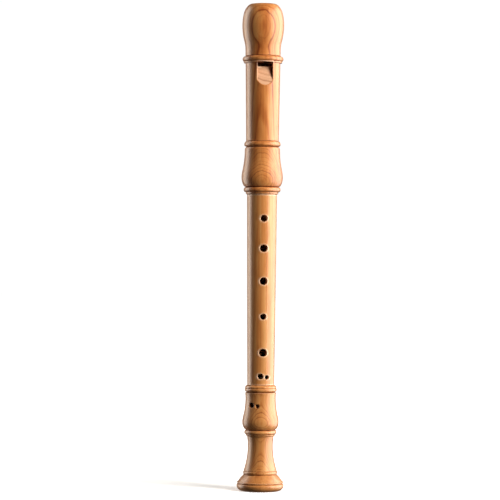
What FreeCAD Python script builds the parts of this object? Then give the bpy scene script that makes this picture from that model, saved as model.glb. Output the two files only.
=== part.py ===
import FreeCAD, Part
import math
import os

import Sketcher

# A three-part soprano recorder, standing on its foot. Millimetres, +Z up, the origin at the centre of the
# foot's end. Every joint is turned about Z. The window and the finger holes of the head and the middle joint
# face -Y, and the foot joint is twisted about Z so that its two holes suit the player's little finger.

# Single sizes: name -> millimetres, or degrees where the name says so.
SIZES = {
    # bore, sockets and tenons
    "head_bore_radius": 6.25,
    "bore_top_radius": 6.2,
    "bore_end_radius": 4.8,
    "upper_tenon_radius": 8.1,
    "upper_tenon_end": 219.1,
    "upper_socket_radius": 8.2,
    "upper_socket_end": 219.4,
    "lower_tenon_radius": 7.1,
    "lower_tenon_end": 59.7,
    "lower_socket_radius": 7.2,
    "lower_socket_end": 59.4,
    "upper_mouth_radius": 8.5,
    "upper_mouth_end": 198.2,
    "lower_mouth_radius": 7.5,
    "lower_mouth_end": 70.1,
    # cork lappings, each let into a recess turned in its tenon
    "upper_recess_radius": 7.3,
    "upper_recess_start": 200.5,
    "upper_recess_end": 217.3,
    "lower_recess_radius": 6.3,
    "lower_recess_start": 61.0,
    "lower_recess_end": 69.8,
    "upper_cork_inside": 7.33,
    "upper_cork_outside": 8.16,
    "upper_cork_start": 200.53,
    "upper_cork_end": 217.27,
    "lower_cork_inside": 6.33,
    "lower_cork_outside": 7.16,
    "lower_cork_start": 61.03,
    "lower_cork_end": 69.77,
    # windway, window and labium
    "windway_width": 10.0,
    "windway_floor": 5.4,
    "windway_roof_exit": 6.45,
    "windway_roof_entry": 6.6,
    "block_line": 285.8,
    "labium_height": 282.9,
    "labium_depth": 6.5,
    "labium_underside": 6.3,
    "undercut_start": 3.7,
    "undercut_end": 262.0,
    "ramp_end_height": 257.5,
    "outside_reach": 16.0,
    "past_the_beak": 330.0,
    "window_easing": 0.45,
    # the scoop behind the beak
    "beak_back": 1.6,
    "scoop_reach": 15.2,
    "scoop_end": 301.2,
    "scoop_radius": 30.0,
    "scoop_width": 40.0,
    # the block
    "block_radius": 6.2,
    "block_width": 9.9,
    "bevel_top": 286.2,
    "bevel_inside": 5.0,
    # holes
    "six_left_offset": 1.5,
    "six_right_offset": 2.75,
    "seven_left_offset": 2.1,
    "seven_right_offset": 1.85,
    "drill_depth": 20.0,
    "hole_easing": 0.35,
    # foot
    "foot_twist_degrees": -32.0,
    "bell_flare_radius": 6.4,
    "bell_flare_height": 3.0,
    # bends of the turned outline that are arcs of a given radius
    "beak_edge_bend": 3.0,
    "beak_crown_bend": 10.3,
    "shoulder_bend": 2.4,
    "bell_slope_bend": 24.0,
}

# Stations of the turned outlines: name -> (radius, height). A station with no radius is where two arcs meet
# smoothly, and its radius follows from them. A quirk is the narrow groove beside a ring or a bead, and a list
# the narrow plain band below one.
STATIONS = {
    # head joint, from the beak down to the socket's mouth
    "beak_flat": (8.2, 325.0),
    "beak_edge": (9.85, 324.2),
    "beak_crown": (12.9, 319.2),
    "bulb": (13.95, 311.0),
    "bulb_turn": (None, 300.0),
    "neck": (11.75, 294.4),
    "neck_end": (11.75, 290.45),
    "neck_quirk": (11.4, 290.2),
    "beak_ring_top": (11.85, 289.95),
    "beak_ring": (13.65, 288.1),
    "beak_ring_end": (13.0, 286.75),
    "beak_quirk": (12.6, 286.55),
    "beak_list": (12.9, 286.3),
    "beak_list_end": (12.75, 285.6),
    "barrel_top": (11.6, 285.35),
    "barrel_end": (10.9, 233.55),
    "barrel_quirk": (10.6, 233.3),
    "swell_ring_top": (11.3, 233.05),
    "swell_ring": (12.15, 231.1),
    "swell_ring_end": (11.45, 229.9),
    "swell_quirk": (10.6, 229.5),
    "swell_top": (11.25, 229.05),
    "swell_shoulder": (11.75, 227.4),
    "swell_turn": (None, 213.5),
    "swell": (13.8, 209.0),
    "swell_end": (12.2, 203.3),
    "socket_quirk": (11.0, 202.75),
    "socket_ring_top": (11.75, 202.3),
    "socket_ring": (12.35, 200.9),
    "socket_ring_end": (11.6, 199.45),
    "socket_step": (10.8, 199.2),
    "socket_list_end": (10.85, 198.25),
    "head_end": (10.45, 197.9),
    # middle joint, from the upper shoulder to the lower one
    "upper_shoulder": (9.75, 197.85),
    "body_top": (10.0, 197.6),
    "body_end": (9.0, 70.7),
    "lower_shoulder": (8.75, 70.45),
    # foot joint, from the socket's mouth to the bell
    "foot_top": (9.2, 70.4),
    "foot_lip": (9.5, 70.15),
    "foot_bead": (10.45, 68.85),
    "foot_bead_end": (10.2, 68.35),
    "foot_ring": (10.72, 67.4),
    "foot_ring_end": (10.25, 66.2),
    "bulge_quirk": (9.45, 65.75),
    "bulge_shoulder": (10.35, 65.3),
    "bulge_waist": (10.1, 61.8),
    "bulge_turn": (None, 49.2),
    "bulge": (12.2, 45.6),
    "bulge_end": (10.8, 41.2),
    "waist_quirk": (9.7, 40.6),
    "waist_ring_top": (10.4, 40.15),
    "waist_ring": (10.85, 39.0),
    "waist_ring_end": (10.2, 37.75),
    "waist_step": (9.75, 37.55),
    "waist_list": (9.85, 37.2),
    "waist_list_end": (9.6, 36.6),
    "waist_top": (9.0, 36.3),
    "waist": (8.35, 30.0),
    "waist_end": (11.0, 13.45),
    "bead_quirk": (10.8, 13.15),
    "bell_bead_top": (11.15, 12.85),
    "bell_bead": (11.42, 12.1),
    "bell_bead_end": (11.15, 11.1),
    "bell_quirk": (10.8, 10.75),
    "bell_top": (11.3, 10.4),
    "bell_slope_end": (14.85, 6.05),
    "bell_edge": (15.4, 5.4),
    "rim_quirk": (14.85, 4.75),
    "rim_top": (15.4, 4.35),
    "bell_rim": (15.7, 3.5),
    "bell_end": (13.1, 0.0),
}

# Holes: name -> (height, radius). The two of a pair lie to the left and the right of the line of holes.
HOLES = {
    "hole_one": (181.7, 2.25),
    "hole_two": (161.8, 2.45),
    "hole_three": (139.9, 2.45),
    "hole_four": (116.3, 1.95),
    "hole_five": (92.3, 2.55),
    "hole_six_left": (76.5, 1.85),
    "hole_six_right": (75.9, 1.4),
    "hole_seven_left": (57.2, 1.7),
    "hole_seven_right": (56.7, 1.3),
    "thumb_hole": (190.0, 2.5),
}

# How an edge of an outline runs to its station.
LINE = "line"
LEVELS_OUT = "levels out"  # an arc that ends parallel to the axis, on a crest or in a trough
SETS_OFF = "sets off"  # an arc that starts parallel to the axis
BOW_OUT = "bow out"  # an arc of a stated radius, standing proud of its chord
BOW_IN = "bow in"  # the same, hollow

doc = FreeCAD.newDocument("soprano_recorder")
sheet = doc.addObject("Spreadsheet::Sheet", "sizes")


def fill_sheet():
    """Put every driving dimension in the sheet, one named cell each."""
    cells = dict(SIZES)
    for name, (radius, height) in STATIONS.items():
        if radius is not None:
            cells[name + "_radius"] = radius
        cells[name + "_height"] = height
    for name, (height, radius) in HOLES.items():
        cells[name + "_height"] = height
        cells[name + "_radius"] = radius
    for row, (alias, value) in enumerate(cells.items(), start=1):
        sheet.set(f"A{row}", alias)
        sheet.set(f"B{row}", str(value))
        sheet.setAlias(f"B{row}", alias)
    doc.recompute()


def value_of(term):
    """The number behind a term: an alias, an alias with a minus sign, or 0."""
    if term == "0":
        return 0.0
    if term.startswith("-"):
        return -float(sheet.get(term[1:]))
    return float(sheet.get(term))


def bind(sketch, constraint, expression):
    """Add a dimension to a sketch and drive it by the sheet."""
    index = sketch.addConstraint(constraint)
    sketch.setExpression(f"Constraints[{index}]", expression)


def place_point(sketch, edge, end, sideways, up):
    """Hold one end of an edge at its two coordinates; None leaves a coordinate free."""
    for term, direction, axis in ((sideways, "DistanceX", -2), (up, "DistanceY", -1)):
        if term is None:
            continue
        if term == "0":
            sketch.addConstraint(Sketcher.Constraint("PointOnObject", edge, end, axis))
        elif term.startswith("-"):
            distance = Sketcher.Constraint(direction, edge, end, -1, 1, -value_of(term))
            bind(sketch, distance, f"sizes.{term[1:]}")
        else:
            distance = Sketcher.Constraint(direction, -1, 1, edge, end, value_of(term))
            bind(sketch, distance, f"sizes.{term}")


def new_sketch(body, name, role):
    """A sketch on one of the body's own origin planes."""
    sketch = body.newObject("Sketcher::SketchObject", name)
    plane = next(f for f in body.Origin.OriginFeatures if f.Role == role)
    sketch.AttachmentSupport = [(plane, "")]
    sketch.MapMode = "FlatFace"
    return sketch


def arc_through(start, finish, centre):
    """The arc from start to finish, and whether it runs counter-clockwise."""
    radius = math.dist(centre, start)
    circle = Part.Circle(FreeCAD.Vector(*centre, 0), FreeCAD.Vector(0, 0, 1), radius)
    from_angle = math.atan2(start[1] - centre[1], start[0] - centre[0])
    to_angle = math.atan2(finish[1] - centre[1], finish[0] - centre[0])
    counter_clockwise = (to_angle - from_angle) % (2 * math.pi) < math.pi
    if counter_clockwise:
        return Part.ArcOfCircle(circle, from_angle, to_angle), True
    return Part.ArcOfCircle(circle, to_angle, from_angle), False


def level_centre(level, other):
    """The centre of the arc through two points that is parallel to the axis at the first."""
    step = level[0] - other[0]
    radius = (step**2 + (level[1] - other[1]) ** 2) / (2 * step)
    return level[0] - radius, level[1]


def bow_centre(start, finish, radius, side):
    """The centre of an arc of a given radius, to the left (1) or the right (-1) of its chord."""
    chord = math.dist(start, finish)
    rise = math.sqrt(radius**2 - chord**2 / 4)
    along = ((finish[0] - start[0]) / chord, (finish[1] - start[1]) / chord)
    middle = ((start[0] + finish[0]) / 2, (start[1] + finish[1]) / 2)
    return middle[0] - side * rise * along[1], middle[1] + side * rise * along[0]


def turning_radius(before, after, height):
    """The radius at which two level arcs, one at each extreme, meet smoothly at a given height."""
    step = before[0] - after[0]
    both = (step**2 + (before[1] - after[1]) ** 2) / (2 * step)
    share = (before[1] - height) / (before[1] - after[1])
    first = (before[0] - share * both, before[1])
    second = (after[0] + (1 - share) * both, after[1])
    return first[0] + share * (second[0] - first[0])


def draw_outline(sketch, corners):
    """Draw a closed outline and bind it. Each corner is (sideways, up, how its edge runs, bend radius)."""
    places = []
    for sideways, up, _, _ in corners:
        places.append([None if sideways is None else value_of(sideways), value_of(up)])
    for index, place in enumerate(places):
        if place[0] is None:
            place[0] = turning_radius(places[index - 1], places[(index + 1) % len(places)], place[1])

    ends = []
    for index, (_, _, way, bend) in enumerate(corners):
        start, finish = places[index - 1], places[index]
        if way == LINE:
            line = Part.LineSegment(FreeCAD.Vector(*start, 0), FreeCAD.Vector(*finish, 0))
            ends.append((sketch.addGeometry(line), 1, 2))
            continue
        if way == LEVELS_OUT:
            centre = level_centre(finish, start)
        elif way == SETS_OFF:
            centre = level_centre(start, finish)
        else:
            centre = bow_centre(start, finish, value_of(bend), 1 if way == BOW_IN else -1)
        arc, forward = arc_through(start, finish, centre)
        edge = sketch.addGeometry(arc)
        ends.append((edge, 1, 2) if forward else (edge, 2, 1))

    for index, (sideways, up, way, bend) in enumerate(corners):
        edge, start_end, finish_end = ends[index]
        before, _, before_end = ends[index - 1]
        if corners[index - 1][0] is None:
            sketch.addConstraint(Sketcher.Constraint("Tangent", before, before_end, edge, start_end))
        else:
            sketch.addConstraint(Sketcher.Constraint("Coincident", before, before_end, edge, start_end))
        place_point(sketch, edge, finish_end, sideways, up)
        if way == LEVELS_OUT:
            sketch.addConstraint(Sketcher.Constraint("Horizontal", edge, 3, edge, finish_end))
        elif way == SETS_OFF:
            sketch.addConstraint(Sketcher.Constraint("Horizontal", edge, 3, edge, start_end))
        elif way in (BOW_OUT, BOW_IN):
            bind(sketch, Sketcher.Constraint("Radius", edge, value_of(bend)), f"sizes.{bend}")


def station(name, way=LINE, bend=None):
    """A corner of a turned outline at a named station."""
    radius = None if STATIONS[name][0] is None else name + "_radius"
    return radius, name + "_height", way, bend


def corner(sideways, up, way=LINE, bend=None):
    """A corner of an outline at two named sizes."""
    return sideways, up, way, bend


def new_body(name):
    """The PartDesign body of one sub-part."""
    body = doc.addObject("PartDesign::Body", name)
    body.Label = name
    return body


def add_feature(body, name, kind, sketch):
    """A feature of a body, made from a sketch that it hides."""
    feature = body.newObject(kind, name)
    feature.Profile = sketch
    sketch.Visibility = False
    return feature


def settle(body, before, grows):
    """Recompute, and make sure that the last feature added wood or took wood away, as it should."""
    doc.recompute()
    change = body.Shape.Volume - before
    if not change or (change > 0) != grows:
        raise RuntimeError(f"{body.Tip.Label} changed the volume by {change:.3f}")


def volume_of(body):
    """The volume of a body so far."""
    return body.Shape.Volume if body.Tip else 0.0


def turn(body, name, corners, kind="PartDesign::Revolution"):
    """Turn the solid of a body about Z from its outline, or with a Groove, a hollow."""
    before = volume_of(body)
    sketch = new_sketch(body, name + "_outline", "XZ_Plane")
    draw_outline(sketch, corners)
    feature = add_feature(body, name, kind, sketch)
    feature.ReferenceAxis = (sketch, ["V_Axis"])
    feature.Angle = 360
    settle(body, before, kind == "PartDesign::Revolution")


def across(body, name, corners, width, kind="PartDesign::Pocket"):
    """Cut (or, with a Pad, add) an outline drawn on the YZ plane, half its width to each side."""
    before = volume_of(body)
    sketch = new_sketch(body, name + "_outline", "YZ_Plane")
    draw_outline(sketch, corners)
    feature = add_feature(body, name, kind, sketch)
    feature.SideType = "Symmetric"
    feature.setExpression("Length", f"sizes.{width}")
    settle(body, before, kind == "PartDesign::Pad")


def drill(body, name, holes, to_front):
    """Drill holes from the axis outwards through one wall: the front (-Y) or the back (+Y).

    Each hole is (name, sideways), where sideways is "0" or the named offset of a pair, with its sign.
    """
    before = volume_of(body)
    sketch = new_sketch(body, name + "_circles", "XZ_Plane")
    for hole, sideways in holes:
        height, radius = f"{hole}_height", f"{hole}_radius"
        centre = FreeCAD.Vector(value_of(sideways), value_of(height), 0)
        circle = sketch.addGeometry(Part.Circle(centre, FreeCAD.Vector(0, 0, 1), value_of(radius)))
        place_point(sketch, circle, 3, sideways, height)
        bind(sketch, Sketcher.Constraint("Radius", circle, value_of(radius)), f"sizes.{radius}")
    feature = add_feature(body, name, "PartDesign::Pocket", sketch)
    feature.setExpression("Length", "sizes.drill_depth")
    feature.Reversed = to_front
    settle(body, before, False)


def on_rim(edge, hole, sideways, to_front):
    """Whether an edge is the outer rim of a drilled hole."""
    middle = (value_of(sideways), value_of(f"{hole}_height"))
    for point in edge.discretize(9):
        off_wall = math.dist((point.x, point.z), middle) - value_of(f"{hole}_radius")
        outward = -point.y if to_front else point.y
        if abs(off_wall) > 0.05 or outward < value_of("upper_recess_radius"):
            return False
    return True


def ease(body, name, holes, to_front):
    """Round over the outer rims of drilled holes."""
    before = volume_of(body)
    rims = []
    for number, edge in enumerate(body.Shape.Edges, start=1):
        if any(on_rim(edge, hole, sideways, to_front) for hole, sideways in holes):
            rims.append(f"Edge{number}")
    drilled = body.Tip
    fillet = body.newObject("PartDesign::Fillet", name)
    fillet.Base = (drilled, rims)
    fillet.setExpression("Radius", "sizes.hole_easing")
    settle(body, before, False)


def ease_window(body):
    """Round over the two long edges of the window, where its side walls meet the outside of the barrel."""
    before = volume_of(body)
    sides = []
    half_width = value_of("windway_width") / 2
    for number, edge in enumerate(body.Shape.Edges, start=1):
        on_side = all(
            abs(abs(point.x) - half_width) < 0.01
            and math.hypot(point.x, point.y) > value_of("barrel_end_radius") - 0.05
            and value_of("ramp_end_height") < point.z < value_of("barrel_top_height") + 0.01
            for point in edge.discretize(5)
        )
        if on_side:
            sides.append(f"Edge{number}")
    cut = body.Tip
    fillet = body.newObject("PartDesign::Fillet", "window_easing_fillet")
    fillet.Base = (cut, sides)
    fillet.setExpression("Radius", "sizes.window_easing")
    settle(body, before, False)


def on_axis(height):
    """A corner on the axis of turning."""
    return corner("0", height)


def beak_scoop(body):
    """The hollow behind the beak, cut across the head and the block alike."""
    corners = [
        corner("beak_back", "past_the_beak"),
        corner("scoop_reach", "scoop_end", BOW_IN, "scoop_radius"),
        corner("scoop_reach", "past_the_beak"),
    ]
    across(body, body.Label + "_scoop", corners, "scoop_width")


def make_head_joint():
    body = new_body("head_joint")
    turn(body, "head_turning", [
        on_axis("beak_flat_height"),
        station("beak_flat"),
        station("beak_edge", BOW_OUT, "beak_edge_bend"),
        station("beak_crown", BOW_OUT, "beak_crown_bend"),
        station("bulb", LEVELS_OUT),
        station("bulb_turn", SETS_OFF),
        station("neck", LEVELS_OUT),
        station("neck_end"),
        station("neck_quirk"),
        station("beak_ring_top"),
        station("beak_ring", LEVELS_OUT),
        station("beak_ring_end", SETS_OFF),
        station("beak_quirk"),
        station("beak_list"),
        station("beak_list_end"),
        station("barrel_top"),
        station("barrel_end"),
        station("barrel_quirk"),
        station("swell_ring_top"),
        station("swell_ring", LEVELS_OUT),
        station("swell_ring_end", SETS_OFF),
        station("swell_quirk"),
        station("swell_top"),
        station("swell_shoulder", BOW_OUT, "shoulder_bend"),
        station("swell_turn", SETS_OFF),
        station("swell", LEVELS_OUT),
        station("swell_end", SETS_OFF),
        station("socket_quirk"),
        station("socket_ring_top"),
        station("socket_ring", LEVELS_OUT),
        station("socket_ring_end", SETS_OFF),
        station("socket_step"),
        station("socket_list_end"),
        station("head_end"),
        on_axis("head_end_height"),
    ])
    turn(body, "head_bore", [
        on_axis("head_end_height"),
        corner("upper_mouth_radius", "head_end_height"),
        corner("upper_socket_radius", "upper_mouth_end"),
        corner("upper_socket_radius", "upper_socket_end"),
        corner("head_bore_radius", "upper_socket_end"),
        corner("head_bore_radius", "past_the_beak"),
        on_axis("past_the_beak"),
    ], "PartDesign::Groove")
    across(body, "windway", [
        on_axis("block_line"),
        corner("-windway_roof_exit", "block_line"),
        corner("-windway_roof_entry", "past_the_beak"),
        on_axis("past_the_beak"),
    ], "windway_width")
    across(body, "window_and_ramp", [
        on_axis("block_line"),
        corner("-outside_reach", "block_line"),
        corner("-outside_reach", "ramp_end_height"),
        corner("-labium_depth", "labium_height"),
        on_axis("labium_height"),
    ], "windway_width")
    across(body, "labium_undercut", [
        on_axis("block_line"),
        corner("-labium_underside", "block_line"),
        corner("-labium_underside", "labium_height"),
        corner("-undercut_start", "undercut_end"),
        on_axis("undercut_end"),
    ], "windway_width")
    ease_window(body)
    beak_scoop(body)
    return body


def make_block():
    body = new_body("block")
    turn(body, "block_plug", [
        on_axis("beak_flat_height"),
        corner("block_radius", "beak_flat_height"),
        corner("block_radius", "block_line"),
        on_axis("block_line"),
    ])
    across(body, "block_tongue", [
        on_axis("block_line"),
        corner("-windway_floor", "block_line"),
        corner("-windway_floor", "beak_flat_height"),
        on_axis("beak_flat_height"),
    ], "block_width", "PartDesign::Pad")
    across(body, "windway_floor", [
        corner("-windway_floor", "labium_height"),
        corner("-outside_reach", "labium_height"),
        corner("-outside_reach", "past_the_beak"),
        corner("-windway_floor", "past_the_beak"),
    ], "scoop_width")
    across(body, "exit_bevel", [
        corner("-windway_floor", "bevel_top"),
        corner("-windway_floor", "block_line"),
        corner("-bevel_inside", "block_line"),
    ], "scoop_width")
    beak_scoop(body)
    return body


def tenon(side, outward):
    """The corners of one tenon from its shoulder outwards: plain wood, the cork's recess, plain wood."""
    near, far = ("start", "end") if outward == "up" else ("end", "start")
    return [
        corner(f"{side}_tenon_radius", f"{side}_shoulder_height"),
        corner(f"{side}_tenon_radius", f"{side}_recess_{near}"),
        corner(f"{side}_recess_radius", f"{side}_recess_{near}"),
        corner(f"{side}_recess_radius", f"{side}_recess_{far}"),
        corner(f"{side}_tenon_radius", f"{side}_recess_{far}"),
        corner(f"{side}_tenon_radius", f"{side}_tenon_end"),
    ]


def make_middle_joint():
    body = new_body("middle_joint")
    turn(body, "middle_turning", [
        on_axis("upper_tenon_end"),
        *reversed(tenon("upper", "up")),
        station("upper_shoulder"),
        station("body_top"),
        station("body_end"),
        station("lower_shoulder"),
        *tenon("lower", "down"),
        on_axis("lower_tenon_end"),
    ])
    turn(body, "middle_bore", [
        on_axis("upper_tenon_end"),
        corner("bore_top_radius", "upper_tenon_end"),
        corner("bore_end_radius", "lower_tenon_end"),
        on_axis("lower_tenon_end"),
    ], "PartDesign::Groove")
    finger_holes = [(f"hole_{number}", "0") for number in ("one", "two", "three", "four", "five")]
    finger_holes += [("hole_six_left", "-six_left_offset"), ("hole_six_right", "six_right_offset")]
    thumb_hole = [("thumb_hole", "0")]
    drill(body, "finger_holes", finger_holes, True)
    drill(body, "thumb_hole", thumb_hole, False)
    ease(body, "finger_hole_rims", finger_holes, True)
    ease(body, "thumb_hole_rim", thumb_hole, False)
    return body


def make_foot_joint():
    body = new_body("foot_joint")
    turn(body, "foot_turning", [
        on_axis("foot_top_height"),
        station("foot_top"),
        station("foot_lip"),
        station("foot_bead", LEVELS_OUT),
        station("foot_bead_end", SETS_OFF),
        station("foot_ring", LEVELS_OUT),
        station("foot_ring_end", SETS_OFF),
        station("bulge_quirk"),
        station("bulge_shoulder"),
        station("bulge_waist", LEVELS_OUT),
        station("bulge_turn", SETS_OFF),
        station("bulge", LEVELS_OUT),
        station("bulge_end", SETS_OFF),
        station("waist_quirk"),
        station("waist_ring_top"),
        station("waist_ring", LEVELS_OUT),
        station("waist_ring_end", SETS_OFF),
        station("waist_step"),
        station("waist_list"),
        station("waist_list_end"),
        station("waist_top"),
        station("waist", LEVELS_OUT),
        station("waist_end", SETS_OFF),
        station("bead_quirk"),
        station("bell_bead_top"),
        station("bell_bead", LEVELS_OUT),
        station("bell_bead_end", SETS_OFF),
        station("bell_quirk"),
        station("bell_top"),
        station("bell_slope_end", BOW_OUT, "bell_slope_bend"),
        station("bell_edge", LEVELS_OUT),
        station("rim_quirk"),
        station("rim_top"),
        station("bell_rim", LEVELS_OUT),
        station("bell_end", SETS_OFF),
        on_axis("bell_end_height"),
    ])
    turn(body, "foot_bore", [
        on_axis("bell_end_height"),
        corner("bell_flare_radius", "bell_end_height"),
        corner("bore_end_radius", "bell_flare_height"),
        corner("bore_end_radius", "lower_socket_end"),
        corner("lower_socket_radius", "lower_socket_end"),
        corner("lower_socket_radius", "lower_mouth_end"),
        corner("lower_mouth_radius", "foot_top_height"),
        on_axis("foot_top_height"),
    ], "PartDesign::Groove")
    holes = [("hole_seven_left", "-seven_left_offset"), ("hole_seven_right", "seven_right_offset")]
    drill(body, "foot_holes", holes, True)
    ease(body, "foot_hole_rims", holes, True)
    body.setExpression("Placement.Rotation.Angle", "sizes.foot_twist_degrees")
    return body


def make_cork(name, side):
    """A cork lapping: a ring that fills its tenon's recess and stands a little proud of the wood."""
    body = new_body(name)
    turn(body, name + "_ring", [
        corner(f"{side}_cork_inside", f"{side}_cork_end"),
        corner(f"{side}_cork_outside", f"{side}_cork_end"),
        corner(f"{side}_cork_outside", f"{side}_cork_start"),
        corner(f"{side}_cork_inside", f"{side}_cork_start"),
    ])
    return body


fill_sheet()
pieces = [
    make_head_joint(),
    make_block(),
    make_middle_joint(),
    make_cork("upper_tenon_cork", "upper"),
    make_cork("lower_tenon_cork", "lower"),
    make_foot_joint(),
]
doc.recompute()

for thing in doc.Objects:
    if "Invalid" in thing.State or "Error" in thing.State:
        raise RuntimeError(f"{thing.Label} failed: {thing.State}")
for piece in pieces:
    if piece.Shape.isNull() or not piece.Shape.isValid() or len(piece.Shape.Solids) != 1:
        raise RuntimeError(f"{piece.Label} is not one valid solid")

os.makedirs("parts", exist_ok=True)
for piece in pieces:
    piece.Shape.exportStep(f"parts/{piece.Label}.step")
    print(f"{piece.Label}: {piece.Shape.Volume / 1000:.2f} cm3")
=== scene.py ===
"""Looks of the soprano recorder: three turned pearwood joints, a cedar block and two cork lappings.

Every node keeps its CAD shape. This script adds the wood and the cork, the light, the floor and the camera.
"""

import math

import bmesh
import bpy
from mathutils import Matrix, Vector


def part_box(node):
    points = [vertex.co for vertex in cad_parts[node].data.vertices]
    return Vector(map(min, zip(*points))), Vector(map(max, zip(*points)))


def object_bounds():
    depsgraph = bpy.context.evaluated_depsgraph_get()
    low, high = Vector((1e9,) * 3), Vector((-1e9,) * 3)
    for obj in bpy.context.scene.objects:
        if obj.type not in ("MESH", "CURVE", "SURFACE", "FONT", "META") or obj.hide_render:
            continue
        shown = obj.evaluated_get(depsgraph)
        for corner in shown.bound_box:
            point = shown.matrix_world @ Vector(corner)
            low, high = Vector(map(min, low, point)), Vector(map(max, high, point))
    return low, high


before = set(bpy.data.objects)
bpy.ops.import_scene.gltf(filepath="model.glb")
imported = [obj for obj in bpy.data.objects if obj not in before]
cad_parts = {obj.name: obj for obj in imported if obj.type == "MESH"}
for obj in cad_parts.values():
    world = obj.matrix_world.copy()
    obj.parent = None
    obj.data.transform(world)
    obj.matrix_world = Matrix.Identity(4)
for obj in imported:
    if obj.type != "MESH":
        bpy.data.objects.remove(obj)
cad_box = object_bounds()

MM = 1000.0            # object coordinates are metres; the grain is worked out in millimetres
VIEW_AZIMUTH = -8.0    # the side that the camera looks from, in degrees: 0 is the -Y side and 90 the +X side


def compass(azimuth):
    """The level unit vector that points from the object to something at that azimuth."""
    angle = math.radians(azimuth)
    return Vector((math.sin(angle), -math.cos(angle), 0.0))


BEHIND = -compass(VIEW_AZIMUTH)    # the direction in which the camera looks


# ---------------------------------------------------------------- node trees

class Graph:
    """Short calls for building one node tree."""

    def __init__(self, tree):
        tree.nodes.clear()
        self.tree = tree

    def node(self, kind, inputs=(), **settings):
        made = self.tree.nodes.new(kind)
        for name, value in settings.items():
            setattr(made, name, value)
        for name, value in dict(inputs).items():
            self.feed(made.inputs[name], value)
        return made

    def feed(self, socket, value):
        if isinstance(value, bpy.types.NodeSocket):
            self.tree.links.new(value, socket)
        else:
            socket.default_value = value

    def math(self, operation, *values, clamp=False):
        made = self.node("ShaderNodeMath", enumerate(values), operation=operation, use_clamp=clamp)
        return made.outputs[0]

    def weigh(self, start, *parts, clamp=False):
        """start plus each part's value times its weight. clamp keeps the whole between 0 and 1."""
        total = start
        for count, (value, weight) in enumerate(parts, 1):
            total = self.math("MULTIPLY_ADD", value, weight, total, clamp=clamp and count == len(parts))
        return total

    def vector(self, operation, *values):
        made = self.node("ShaderNodeVectorMath", enumerate(values), operation=operation)
        return made.outputs["Value" if operation in ("LENGTH", "DOT_PRODUCT") else "Vector"]

    def noise(self, where, scale=1.0, detail=2.0, roughness=0.5):
        """Smooth noise from about -1 to 1."""
        made = self.node("ShaderNodeTexNoise", {"Vector": where, "Scale": scale, "Detail": detail,
                                                "Roughness": roughness})
        return self.math("MULTIPLY_ADD", made.outputs[0], 2.0, -1.0)

    def ramp(self, value, stops):
        """A colour ramp; each stop is (position, grey value) or (position, (r, g, b))."""
        made = self.node("ShaderNodeValToRGB", {0: value})
        elements = made.color_ramp.elements
        while len(elements) < len(stops):
            elements.new(0.5)
        for element, (position, colour) in zip(elements, stops):
            rgb = colour if isinstance(colour, tuple) else (colour, colour, colour)
            element.position = position
            element.color = (*rgb, 1.0)
        return made.outputs[0]

    def between(self, value, low, high, to_low=0.0, to_high=1.0):
        """A smooth step: to_low below low, to_high above high."""
        return self.node("ShaderNodeMapRange", {0: value, 1: low, 2: high, 3: to_low, 4: to_high},
                         interpolation_type="SMOOTHSTEP").outputs[0]

    def mix(self, factor, a, b, blend="MIX"):
        made = self.node("ShaderNodeMix", data_type="RGBA", blend_type=blend, clamp_factor=True)
        self.feed(made.inputs[0], factor)
        for socket, colour in ((made.inputs[6], a), (made.inputs[7], b)):
            self.feed(socket, (*colour, 1.0) if isinstance(colour, tuple) else colour)
        return made.outputs[2]

    def bump(self, height, strength, distance_mm):
        return self.node("ShaderNodeBump", {"Height": height, "Strength": strength,
                                            "Distance": distance_mm / MM}).outputs[0]


def new_material(name):
    material = bpy.data.materials.new(name)
    material.use_nodes = True
    return material, Graph(material.node_tree)


def surface(g, **inputs):
    """The shader of one piece, wired to its output."""
    named = {key.replace("_", " "): value for key, value in inputs.items()}
    shader = g.node("ShaderNodeBsdfPrincipled", named)
    g.node("ShaderNodeOutputMaterial", {"Surface": shader.outputs[0]})


# ---------------------------------------------------------------- places on a piece, all in millimetres

def millimetres(g):
    position = g.node("ShaderNodeTexCoord").outputs["Object"]
    return g.vector("MULTIPLY", position, (MM, MM, MM))


def height_of(g, spot):
    return g.vector("DOT_PRODUCT", spot, (0.0, 0.0, 1.0))


def level_distance(g, spot):
    """The distance from the Z axis, which is the bore's."""
    return g.vector("LENGTH", g.vector("MULTIPLY", spot, (1.0, 1.0, 0.0)))


def openness(g, reach_mm, inside=False):
    """How free the space around a point is, 0 to 1, outside the wood or within it."""
    return g.node("ShaderNodeAmbientOcclusion", {"Distance": reach_mm / MM}, samples=8, only_local=True,
                  inside=inside).outputs["AO"]


def crest(g, reach_mm):
    """0 on open faces and up to 1 on a sharp outer edge."""
    return g.between(openness(g, reach_mm, inside=True), 0.45, 0.9, 1.0, 0.0)


def inner_faces(*limits):
    """A mask for the bored and cut faces: 1 where a point is nearer the bore's axis than the limit there.

    limits are (height, radius) pairs, going up, with straight lines between them.
    """
    edge_mm = 0.1

    def mask(g, spot):
        height = height_of(g, spot)
        limit = limits[0][1]
        for (low, low_radius), (high, high_radius) in zip(limits, limits[1:]):
            climb = g.node("ShaderNodeMapRange",
                           {0: height, 1: low, 2: high, 3: 0.0, 4: high_radius - low_radius})
            limit = g.math("ADD", climb.outputs[0], limit)
        return g.between(g.math("SUBTRACT", level_distance(g, spot), limit), -edge_mm, 0.0, 1.0, 0.0)
    return mask


# ---------------------------------------------------------------- woods and cork

SEED_STEP = 517.0         # how far apart two pieces lie in the noise, in millimetres
PAINTED_SHADE_REACH_MM = 1.1     # how far the painted shade in a groove reaches
# One year's growth, from the end of the last dark line: pale wood, a faint false line, then the dark line.
RING_PROFILE = ((0.0, 0.9), (0.10, 0.1), (0.4, 0.0), (0.48, 0.45), (0.55, 0.05), (0.75, 0.25), (0.92, 1.0))

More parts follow.
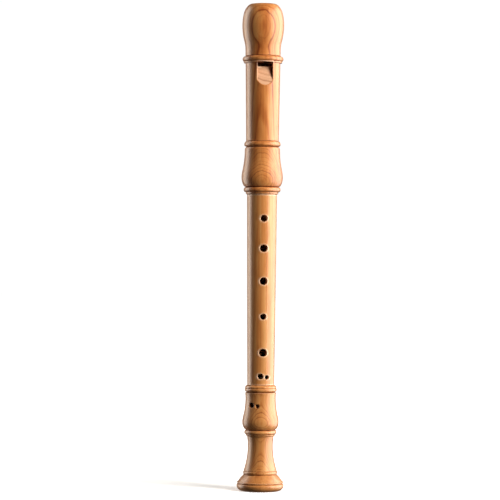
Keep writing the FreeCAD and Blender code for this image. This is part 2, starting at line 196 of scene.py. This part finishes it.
PEAR_TONES = ((0.0, (0.28, 0.074, 0.018)), (0.33, (0.45, 0.158, 0.042)),
              (0.62, (0.58, 0.238, 0.071)), (1.0, (0.69, 0.355, 0.13)))
PEAR_PORE = (0.26, 0.085, 0.026)
PEAR_SAWN_PALE, PEAR_SAWN_DARK = (0.68, 0.41, 0.255), (0.46, 0.23, 0.13)
# pale colour on sharp outer edges: partly rubbed wear, partly a painted highlight
PEAR_WEAR_AND_HIGHLIGHT = (0.95, 0.72, 0.53)
# painted shade: the colour that grooves and corners are darkened with
PAINTED_GROOVE_SHADE = (0.52, 0.38, 0.30)
CEDAR_TONES = ((0.0, (0.17, 0.055, 0.028)), (0.45, (0.36, 0.145, 0.072)), (1.0, (0.55, 0.28, 0.16)))
CORK_TONES = ((0.0, (0.25, 0.125, 0.055)), (0.5, (0.47, 0.28, 0.14)), (1.0, (0.64, 0.43, 0.25)))
CORK_SEAM, CORK_PIT = (0.14, 0.06, 0.025), (0.11, 0.045, 0.02)


def grain(g, spot, across, along, detail=3.0, roughness=0.6):
    """Noise drawn out along the bore; across and along are its scales each way, per millimetre."""
    drawn_out = g.vector("MULTIPLY", spot, (across, across, along))
    return g.noise(drawn_out, detail=detail, roughness=roughness)


def growth_rings(g, spot, below, pith, ring_mm, lean, slow):
    """How dark the growth rings are at a point, 0 to 1; below is added to the distance from the pith."""
    wander_mm = 1.3
    wander = g.math("MULTIPLY", grain(g, spot, 0.07, 0.009), wander_mm)
    out = level_distance(g, g.vector("SUBTRACT", spot, (*pith, 0.0)))
    drift = g.vector("DOT_PRODUCT", spot, (0.0, 0.0, lean))
    distance = g.math("ADD", g.math("ADD", g.math("ADD", out, drift), wander), below)
    rings = g.math("DIVIDE", distance, ring_mm)
    if slow:
        slow_from, slow_ring_mm = slow
        outer = g.math("MAXIMUM", g.math("SUBTRACT", distance, slow_from), 0.0)
        rings = g.weigh(rings, (outer, 1.0 / slow_ring_mm - 1.0 / ring_mm))
    line = g.ramp(g.math("FRACT", rings), RING_PROFILE)
    year = g.node("ShaderNodeTexWhiteNoise", {"W": g.math("FLOOR", rings)}, noise_dimensions="1D")
    year = year.outputs["Value"]
    return g.math("MULTIPLY", line, g.weigh(0.22, (g.math("MULTIPLY", year, year), 0.9)))


def figure(g, spot, pith, ring_mm, lean, seed, slow=None, bend=None):
    """The growth rings and fibres of a billet cut along Z: (ring shade 0 to 1, streaks, fibres, pores).

    pith is the middle of the tree, as (x, y) from the bore, and lean how far the rings drift per millimetre
    of height. On a turned swelling the rings come out as nested ovals and arches. slow, where given, is (the
    distance from the pith, drift included, where the tree began to grow slowly, the width of the rings from
    there outwards). bend is (a height, how much more the rings drift per millimetre below it).
    """
    below = 0.0
    if bend:
        bend_height, bend_drift = bend
        depth = g.math("MAXIMUM", g.math("SUBTRACT", bend_height, height_of(g, spot)), 0.0)
        below = g.math("MULTIPLY", depth, bend_drift)
    spot = g.vector("ADD", spot, (0.0, 0.0, SEED_STEP * seed))
    ring_shade = growth_rings(g, spot, below, pith, ring_mm, lean, slow)
    streaks = grain(g, spot, 0.32, 0.009)
    fibres = grain(g, spot, 2.4, 0.06, roughness=0.7)
    pores = grain(g, spot, 9.0, 0.9, detail=2.0)
    return ring_shade, streaks, fibres, pores


def pear_relief(g, spot, fibres, pore_marks):
    """The height of fibres, pores and the faint rings that the turning tool left."""
    tool_marks = g.node("ShaderNodeTexNoise", {"W": height_of(g, spot), "Scale": 2.2, "Detail": 2.0},
                        noise_dimensions="1D").outputs[0]
    return g.weigh(g.math("MULTIPLY", pore_marks, -0.8), (fibres, 0.35), (tool_marks, 0.25))


def pearwood(name, pith, ring_mm, lean, seed, paleness, bare, wear_and_highlight_mm=2.0, ring_depth=0.56,
             tint=(1.0, 1.0, 1.0), slow=None, bend=None):
    """Oiled and lightly lacquered pearwood.

    bare is a function that gives 1 on the cut inner faces without lacquer, and the edge width in millimetres
    how far the pale band reaches from a sharp edge; that band is partly rubbed wear and partly a painted
    highlight. ring_depth is how dark the lines of the growth rings are.
    """
    material, g = new_material(name)
    spot = millimetres(g)
    ring_shade, streaks, fibres, pores = figure(g, spot, pith, ring_mm, lean, seed, slow, bend)
    mottle = grain(g, spot, 0.11, 0.05, detail=2.0, roughness=0.5)
    pore_marks = g.between(pores, 0.34, 0.62)
    cut = bare(g, spot)

    tone = g.weigh(paleness, (ring_shade, -ring_depth), (streaks, 0.62), (fibres, 0.34), (mottle, 0.28),
                   clamp=True)
    wood = g.mix(1.0, g.ramp(tone, PEAR_TONES), tint, blend="MULTIPLY")
    wood = g.mix(g.math("MULTIPLY", pore_marks, 0.30), wood, PEAR_PORE)
    sawn = g.mix(g.weigh(ring_shade, (fibres, 0.3), clamp=True), PEAR_SAWN_PALE, PEAR_SAWN_DARK)
    wood = g.mix(cut, wood, sawn)

    # Painted shade: the colour is darkened in grooves and corners, where little space around a point is open.
    out_of_painted_shade = g.between(openness(g, PAINTED_SHADE_REACH_MM), 0.25, 0.85)
    wood = g.mix(out_of_painted_shade, g.mix(1.0, wood, PAINTED_GROOVE_SHADE, blend="MULTIPLY"), wood)
    # The pale band on outer edges, partly rubbed wear and partly a painted highlight, fades out before the
    # bore.
    off_the_bore = g.between(level_distance(g, spot), 6.8, 7.4, 0.0, 0.85)
    wood = g.mix(g.math("MULTIPLY", crest(g, wear_and_highlight_mm), off_the_bore), wood, PEAR_WEAR_AND_HIGHLIGHT)

    relief = pear_relief(g, spot, fibres, pore_marks)
    surface(g, Base_Color=wood, Roughness=g.weigh(0.38, (mottle, 0.035), (pore_marks, 0.15), (cut, 0.25)),
            IOR=1.5, Specular_IOR_Level=0.12, Normal=g.bump(relief, 0.35, 0.03),
            Coat_Weight=g.weigh(1.0, (cut, -0.9)), Coat_Roughness=0.37, Coat_IOR=1.85,
            Coat_Normal=g.bump(relief, 0.2, 0.02))
    return material


def cedar(name, pith, seed):
    """Bare red cedar: soft, straight and matt."""
    material, g = new_material(name)
    spot = millimetres(g)
    ring_shade, streaks, fibres, pores = figure(g, spot, pith, ring_mm=1.05, lean=0.004, seed=seed)
    tone = g.weigh(0.75, (ring_shade, -0.55), (streaks, 0.2), (fibres, 0.22), clamp=True)
    relief = g.weigh(fibres, (pores, 0.3), (ring_shade, -0.5))
    surface(g, Base_Color=g.ramp(tone, CEDAR_TONES), Roughness=g.weigh(0.68, (fibres, 0.06)), IOR=1.45,
            Normal=g.bump(relief, 0.5, 0.05))
    return material


def cork(name):
    """Sheet cork, greased: pressed cells with darker seams and a few bark pits."""
    cell_scale = 1.5
    material, g = new_material(name)
    spot = millimetres(g)
    shift = g.node("ShaderNodeTexNoise", {"Vector": spot, "Scale": 0.9, "Detail": 3.0}).outputs["Color"]
    spot = g.vector("ADD", spot, g.vector("MULTIPLY", shift, (0.6, 0.6, 0.6)))
    cells = g.node("ShaderNodeTexVoronoi", {"Vector": spot, "Scale": cell_scale}).outputs["Color"]
    edges = g.node("ShaderNodeTexVoronoi", {"Vector": spot, "Scale": cell_scale}, feature="DISTANCE_TO_EDGE")
    off_the_seam = g.between(edges.outputs["Distance"], 0.01, 0.11)
    pits = g.between(g.noise(spot, scale=0.5, detail=1.0), 0.42, 0.55)
    fine = g.noise(spot, scale=5.0, detail=3.0, roughness=0.7)

    shade = g.vector("DOT_PRODUCT", cells, (0.33, 0.33, 0.33))
    body = g.ramp(g.weigh(shade, (fine, 0.25), clamp=True), CORK_TONES)
    body = g.mix(off_the_seam, g.mix(0.6, body, CORK_SEAM), body)
    body = g.mix(g.math("MULTIPLY", pits, 0.75), body, CORK_PIT)
    relief = g.math("SUBTRACT", g.weigh(off_the_seam, (fine, 0.25)), g.math("MULTIPLY", pits, 0.8))
    surface(g, Base_Color=body, Roughness=g.weigh(0.56, (fine, 0.08)), IOR=1.45,
            Normal=g.bump(relief, 0.6, 0.08))
    return material


# ---------------------------------------------------------------- the pieces

def dress(node, material):
    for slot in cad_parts[node].material_slots:
        slot.link = "OBJECT"
        slot.material = material


def pith_behind(distance_mm):
    """The middle of a tree that lies straight behind the bore, so that its ovals face the camera."""
    return tuple(distance_mm * BEHIND.xy)


def dress_head():
    """Wide rings that make one tall oval on the beak, and narrow arches on the swelling over the socket."""
    window_drop, barrel_drop = 39.3, 91.7    # from the beak's end down to the window and to the barrel's foot
    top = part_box("head_joint")[1].z * MM
    window_top = top - window_drop
    barrel_foot = top - barrel_drop
    # Along the barrel the limit is just under the turned surface, and in the beak just outside the bore.
    bare = inner_faces((barrel_foot, 10.75), (window_top - 0.3, 11.45), (window_top, 6.8))
    dress("head_joint", pearwood("pearwood_head", pith=pith_behind(43.2), ring_mm=2.0, lean=-0.05, seed=1,
                                 slow=(18.0, 0.95), bend=(barrel_foot + 1.0, 0.2), paleness=0.78,
                                 wear_and_highlight_mm=0.9, ring_depth=0.7, tint=(1.0, 0.92, 0.84), bare=bare))


def dress_middle():
    """Straight grain: the tree's middle is far off, behind and to one side."""
    bare = inner_faces((0.0, 8.75))
    dress("middle_joint", pearwood("pearwood_middle", pith=(33.0, 30.0), ring_mm=1.3, lean=-0.006, seed=2,
                                   paleness=0.86, tint=(1.0, 0.985, 0.96), bare=bare))


def dress_foot():
    """Close rings that make arches on the bulge and at the bottom of the waist."""
    bare = inner_faces((0.0, 7.6))
    dress("foot_joint", pearwood("pearwood_foot", pith=pith_behind(34.1), ring_mm=0.65, lean=0.01, seed=3,
                                 paleness=0.86, wear_and_highlight_mm=0.7, ring_depth=0.9, tint=(1.0, 0.96, 0.92),
                                 bare=bare))


def dress_hidden_pieces():
    """The block, and the two lappings cut from one sheet."""
    dress("block", cedar("cedar_block", pith=(30.0, -12.0), seed=4))
    sheet_cork = cork("sheet_cork")
    for lapping in ("upper_tenon_cork", "lower_tenon_cork"):
        dress(lapping, sheet_cork)


# ---------------------------------------------------------------- floor, light and camera

def floor_material():
    """Matt and pale round the foot, and white further out."""
    material, g = new_material("pale_floor")
    matt = g.node("ShaderNodeBsdfDiffuse", {"Color": (0.9, 0.9, 0.9, 1.0)})
    away = g.vector("LENGTH", g.node("ShaderNodeTexCoord").outputs["Object"])
    glow = g.node("ShaderNodeEmission", {"Color": (1.0, 1.0, 1.0, 1.0),
                                         "Strength": g.between(away, 0.05, 0.5, 0.45, 1.0)})
    both = g.node("ShaderNodeAddShader", {0: matt.outputs[0], 1: glow.outputs[0]})
    g.node("ShaderNodeOutputMaterial", {"Surface": both.outputs[0]})
    material.cycles.emission_sampling = "NONE"
    return material


def make_floor():
    """A large round floor just under the foot. It takes the object's shadow and doesn't light it."""
    radius, corners, gap = 6.0, 96, 0.0001
    mesh = bpy.data.meshes.new("floor")
    shape = bmesh.new()
    bmesh.ops.create_circle(shape, cap_ends=True, radius=radius, segments=corners)
    shape.to_mesh(mesh)
    shape.free()
    mesh.materials.append(floor_material())
    floor = bpy.data.objects.new("floor", mesh)
    floor.location.z = cad_box[0].z - gap
    floor.visible_diffuse = False
    floor.visible_glossy = False
    floor.visible_shadow = False
    bpy.context.scene.collection.objects.link(floor)


def make_softbox(name, azimuth, elevation, width, height, brightness, colour, shades=True, gleams=True):
    """A tall soft light in that direction, aimed at the middle of the object.

    azimuth is counted from the camera's own. shades is whether it lights the surface, and gleams whether the
    lacquer mirrors it.
    """
    distance = 1.3
    centre = (cad_box[0] + cad_box[1]) / 2
    up = math.radians(elevation)
    direction = math.cos(up) * compass(VIEW_AZIMUTH + azimuth) + Vector((0.0, 0.0, math.sin(up)))
    light = bpy.data.lights.new(name, "AREA")
    light.shape = "RECTANGLE"
    light.size, light.size_y = width, height
    light.energy = brightness * math.pi * width * height
    light.color = colour
    lamp = bpy.data.objects.new(name, light)
    lamp.location = centre + distance * direction
    lamp.rotation_euler = direction.to_track_quat("Z", "Y").to_euler()
    lamp.visible_camera = False
    lamp.visible_diffuse = shades
    lamp.visible_glossy = gleams
    bpy.context.scene.collection.objects.link(lamp)


def make_lights():
    make_softbox("key_light", azimuth=54.0, elevation=22.0, width=0.6, height=1.3, brightness=13.6,
                 colour=(1.0, 0.975, 0.93), gleams=False)
    make_softbox("gleam_light", azimuth=93.0, elevation=8.0, width=2.3, height=2.0, brightness=3.4,
                 colour=(1.0, 0.985, 0.95), shades=False)
    make_softbox("rim_light", azimuth=-113.0, elevation=10.0, width=0.9, height=1.8, brightness=3.2,
                 colour=(1.0, 0.955, 0.87))


def make_world():
    """White to the eye; as light, a dim warm room that is brighter behind the object."""
    warm, white = (1.0, 0.84, 0.70), (1.0, 1.0, 1.0)
    world = bpy.data.worlds.new("studio")
    bpy.context.scene.world = world
    world.use_nodes = True
    g = Graph(world.node_tree)
    direction = g.node("ShaderNodeTexCoord").outputs["Generated"]
    rearward = g.vector("DOT_PRODUCT", direction, tuple(BEHIND))
    room = g.vector("MULTIPLY", warm, g.between(rearward, -0.1, 0.9, 0.01, 0.28))
    seen = g.node("ShaderNodeLightPath").outputs["Is Camera Ray"]
    backdrop = g.node("ShaderNodeBackground", {"Color": g.mix(seen, room, white)})
    g.node("ShaderNodeOutputWorld", {"Surface": backdrop.outputs[0]})


def make_camera():
    """A long lens, level with the middle of the body. Lengths are in metres."""
    distance, eye_height, left_of_bore, roll = 1.5, 0.1606, 0.0078, math.radians(0.41)
    camera = bpy.data.cameras.new("camera")
    camera.lens = 161.5
    camera.clip_start = 0.01
    right = BEHIND.cross(Vector((0.0, 0.0, 1.0)))
    place = Vector((0.0, 0.0, cad_box[0].z + eye_height)) - distance * BEHIND - left_of_bore * right
    aim = BEHIND.to_track_quat("-Z", "Y").to_matrix().to_4x4()
    eye = bpy.data.objects.new("camera", camera)
    eye.matrix_world = Matrix.Translation(place) @ aim @ Matrix.Rotation(roll, 4, "Z")
    bpy.context.scene.collection.objects.link(eye)
    bpy.context.scene.camera = eye


def set_exposure():
    """Plain colours with slightly raised contrast."""
    view = bpy.context.scene.view_settings
    view.view_transform = "Standard"
    view.gamma = 0.88
    view.exposure = 0.03


dress_head()
dress_middle()
dress_foot()
dress_hidden_pieces()
make_floor()
make_lights()
make_world()
make_camera()
set_exposure()
